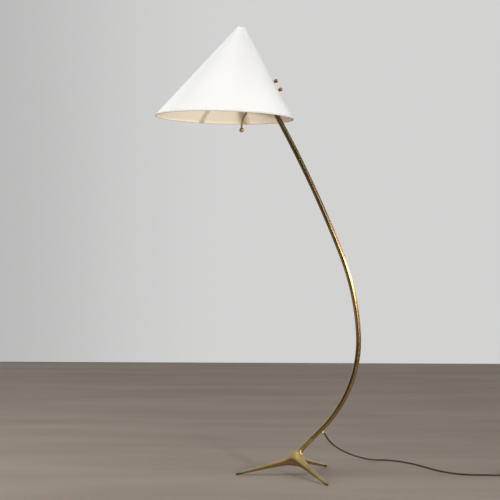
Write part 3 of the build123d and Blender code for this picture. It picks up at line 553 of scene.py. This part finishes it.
cord_line = bpy.data.curves.new("cord", "CURVE")
cord_line.dimensions = "3D"
cord_line.resolution_u = 8
cord_line.bevel_depth = 1.0
cord_line.bevel_resolution = 4
cord_line.use_fill_caps = True
route = cord_line.splines.new("NURBS")
route.points.add(len(cord_points) - 1)
route.points.foreach_set("co", np.hstack([np.array(cord_points), np.ones((len(cord_points), 1))]).ravel())
route.points.foreach_set("radius", np.full(len(cord_points), CORD_RADIUS))
route.order_u = 3
route.use_endpoint_u = True
cord = bpy.data.objects.new("cord", cord_line)
scene.collection.objects.link(cord)
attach(cord, "stand")
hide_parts("cord_run", "cord_coil")

brown_sheath, shader, place = finish("brown_sheath", Specular_IOR_Level=0.35)
handled = place.noise(38.0, 4.0).rise(0.4, 0.7)
grain = place.noise(1300.0, 2.0)
handled.mix((0.046, 0.030, 0.021, 1.0), (0.072, 0.050, 0.036, 1.0)).into(shader, "Base Color")
(0.50 + handled * 0.12 + grain * 0.05).into(shader, "Roughness")
grain.dent(0.08, 0.0002).into(shader, "Normal")
cord_line.materials.append(brown_sheath)

# Lead: the same cord's two cores inside the stem, from the bushing up into the hollow swivel shank.
dress("stem_lead", brown_sheath)

# Tie: a soft black band round the coil's turns, closed on itself.
around = np.linspace(0.0, 2 * pi, 96, endpoint=False)


def squared(angle, power):
    """Unit square with rounded corners: sign and power 2 / n of the cosine and sine of an angle."""
    round_points = np.stack([np.cos(angle), np.sin(angle)], axis=-1)
    return np.sign(round_points) * np.abs(round_points) ** (2 / np.asarray(power)[..., None])


TIE_SEAT = np.array([0.931485, 0.0619, 0.0075])
band_line = squared(around, 5.0) * (0.01086, 0.00705)
band_out = np.roll(band_line, -1, axis=0) - np.roll(band_line, 1, axis=0)
band_out = unit(np.stack([band_out[:, 1], -band_out[:, 0]], axis=1))
section = squared(np.linspace(0.0, 2 * pi, 24, endpoint=False), 4.0) * (0.00045, 0.0040)
band = band_line[:, None, :] + section[None, :, :1] * band_out[:, None, :]
band_width = np.broadcast_to(section[None, :, 1], band.shape[:2])
tie_grid = TIE_SEAT + np.stack([band[..., 0], band_width, band[..., 1]], axis=-1)
tie = skin("tie", [tie_grid], dark_rubber, "stand", ["cord_tie"], loop=True)

# Plug: a moulded brown two-pole plug. A ribbed neck takes the strain of the cord, and the body is drawn in
# at the sides for the fingers.
PLUG_LENGTH, PLUG_HALF_WIDTH, PLUG_HALF_HEIGHT = 0.048, 0.0178, 0.0106
NECK_END, SHOULDER = 0.0165, 0.0035
RIB_PITCH, RIB_DEPTH = 0.0036, 0.0005
WAIST_AT, WAIST_SPAN, WAIST_DEPTH = 0.034, 0.006, 0.0016
EDGE_RADIUS = 0.0016
rows = np.linspace(0.0, PLUG_LENGTH, 120)
body_share = np.clip((rows - NECK_END) / SHOULDER, 0.0, 1.0)
body_share = body_share**2 * (3 - 2 * body_share)
ribs = RIB_DEPTH * (np.sin(rows / RIB_PITCH * 2 * pi) > 0.2) * (rows < NECK_END)
neck_width = 0.0050 + 0.0030 * rows / 0.018 - ribs
waist = WAIST_DEPTH * np.exp(-(((rows - WAIST_AT) / WAIST_SPAN) ** 2))
past_edge = np.clip(rows - (PLUG_LENGTH - EDGE_RADIUS), 0, None) / EDGE_RADIUS
edge = EDGE_RADIUS * (1 - np.sqrt(np.clip(1 - past_edge**2, 0, 1)))
half_wide = neck_width * (1 - body_share) + (PLUG_HALF_WIDTH - waist - edge) * body_share
half_high = neck_width * (1 - body_share) + (PLUG_HALF_HEIGHT - waist * 0.5 - edge) * body_share
power = 2.0 + 1.6 * body_share
outline = squared(around[None, :], power[:, None]) * np.stack([half_wide, half_high], axis=1)[:, None, :]
forward = np.broadcast_to(-rows[:, None], outline.shape[:2])
plug_grid = np.stack([outline[..., 0], forward, outline[..., 1]], axis=-1)
plug_grid = PLUG_SEAT + np.concatenate([0 * plug_grid[:1], plug_grid, plug_grid[-1:] * (0, 1, 0)])
brown_plug, shader, place = finish("brown_plug", Specular_IOR_Level=0.45)
rubbed = place.noise(70.0, 4.0).rise(0.42, 0.7)
rubbed.mix((0.042, 0.027, 0.019, 1.0), (0.068, 0.046, 0.034, 1.0)).into(shader, "Base Color")
(0.34 + rubbed * 0.16).into(shader, "Roughness")
place.noise(1100.0, 2.0).dent(0.06, 0.0002).into(shader, "Normal")
plug = skin("plug", [plug_grid], brown_plug, "stand", ["plug_body"], sharp=35.0)

# Plug pins: two nickel-plated brass pins, 19 mm apart, with a dark sleeve on the half next to the body.
PIN_FOOT, PIN_SHOULDER, SLEEVE_END = 0.040, 0.0475, 0.0575
PIN_HALF_SPREAD = 0.0095
PIN_SIDES = 32
heights = np.linspace(PIN_FOOT, 0.066, 53)
pin = np.stack([np.where(heights < PIN_SHOULDER, 0.0018, 0.0024), heights], axis=1)
pin_tip = [(0.0023, 0.0665), (0.0017, 0.0669), (0.0009, 0.06699), (0.0, 0.067)]
pin = np.concatenate([[(0.0, PIN_FOOT)], pin, pin_tip])
pin_seats = [PLUG_SEAT + (side * PIN_HALF_SPREAD, 0, 0) for side in (-1, 1)]
pin_grids = [turned(pin, seat, (0, -1, 0), PIN_SIDES) for seat in pin_seats]
sleeve = np.repeat(((pin[:, 1] > PIN_SHOULDER) & (pin[:, 1] < SLEEVE_END)).astype(float), PIN_SIDES)
nickel, shader, place = finish("pin_nickel")
tarnish = place.noise(260.0, 3.0).rise(0.45, 0.75)
covered = place.node("ShaderNodeAttribute", {"attribute_name": "sleeve"}, {}, "Fac")
plated = tarnish.mix((0.70, 0.68, 0.63, 1.0), (0.50, 0.47, 0.42, 1.0))
covered.mix(plated, (0.03, 0.027, 0.025, 1.0)).into(shader, "Base Color")
(1 - covered).into(shader, "Metallic")
(0.22 + tarnish * 0.15 + covered * 0.25).into(shader, "Roughness")
pins = skin("plug_pin_pair", pin_grids, nickel, "stand", ["plug_pins"],
            layers={"sleeve": np.tile(sleeve, len(pin_grids))})

# Swivel: a turned plug in the top of the tube, and a slotted fork that turns in it on a hollow shank with a
# nut below. All of it is turned brass, clouded and finely pitted, and dark rubber washers give the knuckle
# its drag.
turned_brass, shader, place = finish("turned_brass", Metallic=1.0)
cloud = place.noise(45.0, 3.0)
fleck = place.noise(380.0, 2.0)
grime = (cloud * 0.6 + fleck * 0.4).rise(0.38, 0.66)
grime.mix((0.55, 0.375, 0.160, 1.0), (0.36, 0.228, 0.092, 1.0)).into(shader, "Base Color")
(0.32 + grime * 0.14).into(shader, "Roughness")
fleck.dent(0.06, 0.0002).into(shader, "Normal")
for node in ("stem_plug", "swivel_fork", "swivel_nut", "pivot_screw", "pivot_nut"):
    dress(node, turned_brass)
dress("friction_washers", dark_rubber)

# Carrier: a brass block with an eye in the fork, an arm and a plate against the shade's wall on one side, and
# a ball-shaped hub for the handle and the lampholder on the other. Steel studs go through the plate.
dress("shade_carrier", turned_brass)
dress("shade_studs", steel)

# Shade: an oblique cone of thin sheet aluminium, its rim and its cut tip rolled round a wire. It is sprayed
# white outside and cream inside, with a faint orange peel. The roll of the rim is painted brown as shade,
# with a little dirt.
PIVOT = np.array([0.022404, 0.0, 1.342393])
OUT = np.array([0.88539, 0.0, 0.46484])
ALONG = np.array([-0.46484, 0.0, 0.88539])
BACK = np.array([0.0, 1.0, 0.0])
SHADE_REACH = 0.0452
RIM_DIAMETER, RIM_TILT, RIM_DROP = 0.483, 1.6, 0.132
TIP_DIAMETER, TIP_TILT, TIP_RISE = 0.0305, 11.6, 0.2247
SHEET = 0.0008
RIM_ROLL, RIM_ROLL_IN = 0.0022, 0.0010
TIP_ROLL = 0.0016
SHADE_SIDES = 288
WALL_ROWS = 70


def edge_circle(right_end, tilt, diameter, angle):
    """Circle of the shade: from its right end, square to the plane Y = 0, tilted down to the right."""
    across = np.array([cos(radians(tilt)), 0.0, -sin(radians(tilt))])
    centre = right_end - across * diameter / 2
    return centre + diameter / 2 * (np.cos(angle)[:, None] * across + np.sin(angle)[:, None] * BACK)


angle = np.linspace(0.0, 2 * pi, SHADE_SIDES, endpoint=False)
right_side = PIVOT + SHADE_REACH * OUT
rim = edge_circle(right_side - RIM_DROP * ALONG, RIM_TILT, RIM_DIAMETER, angle)
tip = edge_circle(right_side + TIP_RISE * ALONG, TIP_TILT, TIP_DIAMETER, angle)
slant = unit(tip - rim)
round_way = unit(np.roll(rim, -1, axis=0) - np.roll(rim, 1, axis=0))
outside = unit(np.cross(round_way, slant))


def wall_row(share, up, out):
    """Row round the shade: a share of the way from rim to tip, then up the slant and out of the wall."""
    return rim + share * (tip - rim) + up * slant + out * outside


roll = np.radians(np.linspace(40.0, -230.0, 19))
bead = np.radians(np.linspace(225.0, -45.0, 13))
wall_rows = [wall_row(s, 0.0, 0.0) for s in np.linspace(0.008, 0.993, WALL_ROWS)]
wall_rows += [wall_row(1.0, TIP_ROLL * sin(b), TIP_ROLL * cos(b) - SHEET) for b in bead[::-1]]
wall_rows += [wall_row(s, 0.0, -SHEET) for s in np.linspace(0.985, 0.010, WALL_ROWS)]
wall_rows += [wall_row(0.0, RIM_ROLL * sin(b), RIM_ROLL * cos(b) - RIM_ROLL_IN) for b in roll[::-1]]
outside_in = np.linspace(0.0, 1.0, len(bead))
inside_out = np.linspace(1.0, 0.0, len(roll))
inner_share = np.concatenate([np.zeros(WALL_ROWS), outside_in, np.ones(WALL_ROWS), inside_out])
inner_layer = np.repeat(inner_share, SHADE_SIDES)
above_rim = np.zeros(len(wall_rows) - len(roll))
rim_layer = np.repeat(np.concatenate([above_rim, np.sin(np.linspace(0, pi, len(roll)))]), SHADE_SIDES)
shade_white, shader, place = finish("shade_lacquer", Specular_IOR_Level=0.35)
within = place.node("ShaderNodeAttribute", {"attribute_name": "inner"}, {}, "Fac")
rolled = place.node("ShaderNodeAttribute", {"attribute_name": "rolled"}, {}, "Fac")
cloud = place.noise(5.0, 4.0).rise(0.3, 0.7)
# Painted shade with a little dirt: the roll of the rim turns brown, most at its lowest edge.
rim_shade_and_dirt = place.noise(130.0, 4.0).rise(-0.2, 0.7) * rolled
white = cloud.mix((0.850, 0.846, 0.832, 1.0), (0.865, 0.862, 0.850, 1.0))
cream = cloud.mix((0.910, 0.808, 0.645, 1.0), (0.922, 0.828, 0.672, 1.0))
painted = within.rise(0.60, 0.90).mix(white, cream)
(rim_shade_and_dirt * 0.75).mix(painted, (0.40, 0.30, 0.20, 1.0)).into(shader, "Base Color")
(0.50 + cloud * 0.06 + rim_shade_and_dirt * 0.2).into(shader, "Roughness")
place.noise(420.0, 2.0).dent(0.05, 0.0005).into(shader, "Normal")
skin("shade", [np.stack(wall_rows)], shade_white, "head", ["shade_cone", "shade_rim_ring", "shade_tip_ring"],
     loop=True, layers={"inner": inner_layer, "rolled": rim_layer}, sharp=70.0)

# Ball nuts: two turned brass balls with a short neck, darkened with age, that hold the shade to the carrier's
# studs. Each sits on a turned washer against the shade's wall.
NUT_RADIUS, NUT_CENTRE, NUT_FOOT, WASHER_FOOT = 0.0068, 0.0536, 0.0466, 0.0454
STUD_HALF_SPREAD, STUD_DROP = 0.01675, 0.003
tilt = np.linspace(radians(-38.0), radians(90.0), 28)
ball = np.stack([NUT_RADIUS * np.cos(tilt), NUT_CENTRE + NUT_RADIUS * np.sin(tilt)], axis=1)
neck = [(0.0, NUT_FOOT), (0.0046, NUT_FOOT), (0.0046, 0.0486), (0.0049, 0.0490)]
nut_profile = np.concatenate([neck, ball])
dark_brass, shader, place = finish("darkened_brass", Metallic=1.0)
tarnish = (place.noise(60.0, 3.0) * 0.6 + place.noise(420.0, 2.0) * 0.4).rise(0.38, 0.66)
tarnish.mix((0.36, 0.235, 0.115, 1.0), (0.19, 0.120, 0.058, 1.0)).into(shader, "Base Color")
(0.20 + tarnish * 0.16).into(shader, "Roughness")
ring_low = [(0.0028, WASHER_FOOT), (0.0060, WASHER_FOOT)]
ring_high = [(0.0060, NUT_FOOT), (0.0028, NUT_FOOT)]
ring_profile = eased(ring_low + ring_high + ring_low[:1], 0.0003)
seats = [PIVOT + (side * STUD_HALF_SPREAD - STUD_DROP) * ALONG for side in (1, -1)]
nuts = [turned(nut_profile, seat, OUT) for seat in seats]
washers = [turned(ring_profile, seat, OUT) for seat in seats]
skin("ball_nut_pair", nuts, dark_brass, "head", ["ball_nuts"])
skin("washer_pair", washers, dark_brass, "head", ["stud_washers"])

# Handle: a brass rod, screwed into the carrier's hub and bent down to the vertical, with a turned ball on its
# end to hold the shade by. Hands have kept both bright, and their brass is painted lighter still as a sheen.
HOLDER_TURN = radians(183.0)
HOLDER_WAY = np.array([cos(HOLDER_TURN), 0.0, sin(HOLDER_TURN)])
ROD_HEADING = 240.0
ROD_BEND = 270.0 - ROD_HEADING
ROD_RADIUS = 0.0035
ROD_BEND_RADIUS = 0.090
ROD_STRAIGHT = 0.0845
ROD_TAIL = 0.005
HUB_REACH = 0.022
ROD_SOCKET = 0.0075
GRIP_RADIUS = 0.0082
GRIP_COLLAR = 0.0078
rod_way = np.array([cos(radians(ROD_HEADING)), 0.0, sin(radians(ROD_HEADING))])
rod_start = PIVOT + HUB_REACH * HOLDER_WAY + ROD_SOCKET * rod_way
rod_runs = [(ROD_STRAIGHT, 0.0), (ROD_BEND_RADIUS * radians(ROD_BEND), ROD_BEND), (ROD_TAIL, 0.0)]
places, ways, lengths = bent_line(rod_start, ROD_HEADING, rod_runs, 90)
rod_grid = swept(places, ways, ROD_RADIUS, 40)
rod_ends = [np.broadcast_to(places[end], rod_grid[:1].shape) for end in (0, -1)]
rod_grid = np.concatenate([rod_ends[0], rod_grid, rod_ends[1]])
# Painted sheen as well as wear: the handle's brass is lighter than the other turned brass.
rubbed_brass_with_painted_sheen, shader, place = finish("rubbed_brass_painted_sheen", Metallic=1.0)
worn = place.noise(120.0, 3.0).rise(0.38, 0.66)
worn.mix((0.86, 0.615, 0.290, 1.0), (0.66, 0.445, 0.190, 1.0)).into(shader, "Base Color")
(0.30 + worn * 0.10).into(shader, "Roughness")
skin("handle", [rod_grid], rubbed_brass_with_painted_sheen, "head", ["handle_rod"])
ball_centre = places[-1] + (ROD_TAIL - GRIP_COLLAR) * UP
tilt = np.linspace(radians(-90.0), radians(62.0), 40)
ball = GRIP_RADIUS * np.stack([np.cos(tilt), np.sin(tilt)], axis=1)
collar = [(0.0039, 0.0074), (0.0037, GRIP_COLLAR), (0.0, GRIP_COLLAR)]
grip_grid = turned(np.concatenate([ball, collar]), ball_centre, UP)
skin("handle_end", [grip_grid], rubbed_brass_with_painted_sheen, "head", ["handle_ball"])

# Lampholder: a spun brass cap on a nipple and nut, a brass shell with a rolled thread for a shade ring, a
# porcelain insert, and inside it the pressed screw sleeve and the centre contact.
HOLDER_SEAT = PIVOT + 0.037 * HOLDER_WAY
HOLDER_SIDES = 64
HOLDER_RADIUS = 0.0200
HOLDER_BORE = 0.0188
CAP_WALL = 0.0012
CAP_HOLE = 0.0052
CAP_END = 0.0260
tilt = np.linspace(0.0, pi / 2, 18)
dome = np.stack([0.009 + 0.011 * np.sin(tilt), 0.012 * (1 - np.cos(tilt))], axis=1)
cap_bead = [(HOLDER_RADIUS, 0.0218), (0.0204, 0.0222), (0.0204, 0.0236), (HOLDER_RADIUS, 0.0240)]
cap_mouth = [(HOLDER_RADIUS, CAP_END), (HOLDER_BORE, CAP_END)]
cap_profile = np.concatenate([
    [(CAP_HOLE, CAP_WALL), (CAP_HOLE, 0.0)], dome, cap_bead,
    cap_mouth, dome[::-1] - (CAP_WALL, -CAP_WALL), [(CAP_HOLE, CAP_WALL)],
])
cap_grid = turned(cap_profile, HOLDER_SEAT, HOLDER_WAY, HOLDER_SIDES)
skin("holder_dome", [cap_grid], turned_brass, "head", ["holder_cap"], sharp=30.0)


def threaded(radius, depth, pitch, heights, sides):
    """Radius and height of a rolled thread: a wave of that depth and pitch, which rises one pitch a turn and
    fades at both ends. Gives an array of rows and columns."""
    angle = np.linspace(0.0, 2 * pi, sides, endpoint=False)[None, :]
    heights = np.asarray(heights)[:, None]
    fade = np.clip((heights - heights[0]) / pitch, 0, 1) * np.clip((heights[-1] - heights) / pitch, 0, 1)
    wave = radius - depth / 2 * fade * (1 - np.cos(2 * pi * heights / pitch - angle))
    return np.stack([wave, np.broadcast_to(heights, wave.shape)], axis=-1)


def with_rings(rows, before, after):
    """Rows of a thread with plain rings, each a (radius, height), before and after them."""
    plain = [np.array(rings, float).reshape(-1, 1, 2) for rings in (before, after)]
    first, last = (np.broadcast_to(rings, (len(rings), *rows.shape[1:])) for rings in plain)
    return np.concatenate([first, rows, last])


shell_thread = threaded(HOLDER_RADIUS, 0.0011, 0.0025, np.linspace(0.034, 0.0585, 120), HOLDER_SIDES)
shell_lip = [(0.0210, 0.0600), (0.0212, 0.0604), (0.0212, 0.0616), (0.0209, 0.0620), (0.0190, 0.0620)]
shell_bore = [(HOLDER_BORE, 0.0617), (HOLDER_BORE, CAP_END)]
shell_start = [(HOLDER_BORE, CAP_END), (HOLDER_RADIUS, CAP_END), (HOLDER_RADIUS, 0.0335)]
shell_rows = with_rings(shell_thread, shell_start, shell_lip + shell_bore)
shell_grid = turned(shell_rows, HOLDER_SEAT, HOLDER_WAY, HOLDER_SIDES)
skin("holder_barrel", [shell_grid], turned_brass, "head", ["holder_shell"], sharp=30.0)

sleeve_seat = HOLDER_SEAT + 0.029 * HOLDER_WAY
SCREW_PITCH = 0.0036
SLEEVE_RADIUS = 0.0146
SLEEVE_WALL = 0.0005
SLEEVE_HOLE = 0.0060
SLEEVE_FLANGE = 0.0006
SLEEVE_LENGTH = 0.0250
sleeve_bore = SLEEVE_RADIUS - SLEEVE_WALL
sleeve_out = threaded(SLEEVE_RADIUS, 0.0010, SCREW_PITCH, np.linspace(0.0015, 0.0245, 90), HOLDER_SIDES)
sleeve_in = sleeve_out[::-1] - (SLEEVE_WALL, 0.0)
sleeve_flange = [(SLEEVE_HOLE, SLEEVE_FLANGE), (SLEEVE_HOLE, 0.0), (0.0144, 0.0)]
sleeve_mouth = [(SLEEVE_RADIUS, SLEEVE_LENGTH), (sleeve_bore, SLEEVE_LENGTH)]
sleeve_rows = with_rings(sleeve_out, sleeve_flange, sleeve_mouth)
sleeve_end = [(sleeve_bore, SLEEVE_FLANGE), (SLEEVE_HOLE, SLEEVE_FLANGE)]
sleeve_rows = with_rings(np.concatenate([sleeve_rows, sleeve_in]), [], sleeve_end)
sleeve_grid = turned(sleeve_rows, sleeve_seat, HOLDER_WAY, HOLDER_SIDES)
skin("holder_sleeve", [sleeve_grid], turned_brass, "head", ["screw_shell"], sharp=30.0)
porcelain, shader, place = finish("glazed_porcelain", Roughness=0.12, Coat_Weight=0.4)
speck = place.noise(240.0, 3.0).rise(0.55, 0.75)
speck.mix((0.83, 0.815, 0.77, 1.0), (0.70, 0.665, 0.58, 1.0)).into(shader, "Base Color")
dress("holder_nipple", steel)
dress("holder_nut", steel)
dress("holder_insert", porcelain)
dress("centre_contact", turned_brass)

# Switch key: a brown moulded thumb piece on a round shaft, which goes through the holder's cap to the switch.
KEY_SEAT = HOLDER_SEAT + 0.020 * HOLDER_WAY
FRONT = np.array([0.0, -1.0, 0.0])
SHAFT_RADIUS, SHAFT_START, SHAFT_END = 0.0020, 0.0098, 0.0245
THUMB_RADIUS, THUMB_HALF_DEPTH, THUMB_AT = 0.0065, 0.0016, 0.0295
THUMB_FLUTES = 18
shaft_ends = [(SHAFT_RADIUS, SHAFT_START), (SHAFT_RADIUS, SHAFT_END)]
shaft = eased([(0, SHAFT_START), *shaft_ends, (0, SHAFT_END)], 0.0003)
turn = np.linspace(0.0, 2 * pi, 64, endpoint=False)
swell = squared(np.linspace(pi / 2, -pi / 2, 25), 3.2)
thin = THUMB_HALF_DEPTH * np.broadcast_to(swell[:, 1:], (len(swell), len(turn)))
wide = THUMB_RADIUS * swell[:, :1] * (1 - 0.012 * (1 + np.cos(THUMB_FLUTES * turn))[None, :])
lift = THUMB_AT + wide * np.sin(turn)[None, :]
sideways = wide * np.cos(turn)[None, :]
across = np.cross(HOLDER_WAY, FRONT)
thumb = KEY_SEAT + lift[..., None] * FRONT + sideways[..., None] * across + thin[..., None] * HOLDER_WAY
shaft_grid = turned(shaft, KEY_SEAT, FRONT, 24)
skin("key", [shaft_grid, thumb], brown_plug, "key", ["switch_key"], sharp=50.0)

# Bulb: an opal glass globe with a tapering neck, cemented into a pressed screw cap with a solder tip.
BULB_SEAT = HOLDER_SEAT + 0.0315 * HOLDER_WAY
BULB_CAP_RADIUS, BULB_CAP_LENGTH = 0.0132, 0.0265
GLOBE_RADIUS, GLASS_NECK = 0.030, 0.0130
cap_heights = np.linspace(0.0068, 0.0235, 80)
cap_thread = threaded(BULB_CAP_RADIUS, 0.0011, SCREW_PITCH, cap_heights, HOLDER_SIDES)
solder_tip = [(0.0, 0.0), (0.0030, 0.0001), (0.0044, 0.0006), (0.0045, 0.0020)]
cap_taper = [(0.0118, 0.0062), (0.0125, 0.0065)]
cap_end = [(0.0130, 0.0240), (0.0131, BULB_CAP_LENGTH), (0.0, BULB_CAP_LENGTH)]
cap_rows = with_rings(cap_thread, solder_tip + cap_taper, cap_end)
cap_metal, shader, place = finish("cap_nickel", Metallic=1.0)
tarnish = place.noise(200.0, 3.0).rise(0.42, 0.72)
tarnish.mix((0.71, 0.70, 0.66, 1.0), (0.50, 0.48, 0.44, 1.0)).into(shader, "Base Color")
(0.22 + tarnish * 0.18).into(shader, "Roughness")
bulb_cap_grid = turned(cap_rows, BULB_SEAT, HOLDER_WAY, HOLDER_SIDES)
skin("bulb_screw_cap", [bulb_cap_grid], cap_metal, "head", ["bulb_cap"], sharp=30.0)
taper = radians(22.0)
meet_height = (GLOBE_RADIUS * cos(taper) - GLASS_NECK) / np.tan(taper)
globe_height = meet_height + GLOBE_RADIUS * sin(taper)
tilt = np.linspace(-taper, pi / 2, 60)
globe = np.stack([GLOBE_RADIUS * np.cos(tilt), globe_height + GLOBE_RADIUS * np.sin(tilt)], axis=1)
glass_profile = np.concatenate([[(0.0, 0.0), (0.0127, 0.0), (GLASS_NECK, 0.0003)], globe])
opal, shader, place = finish("opal_glass", Roughness=0.16, Coat_Weight=0.5, Coat_Roughness=0.05)
milk = place.noise(60.0, 3.0).rise(0.35, 0.7)
milk.mix((0.86, 0.85, 0.815, 1.0), (0.89, 0.882, 0.855, 1.0)).into(shader, "Base Color")
globe_grid = turned(glass_profile, BULB_SEAT + BULB_CAP_LENGTH * HOLDER_WAY, HOLDER_WAY, 72)
skin("bulb_globe", [globe_grid], opal, "head", ["bulb_glass"])
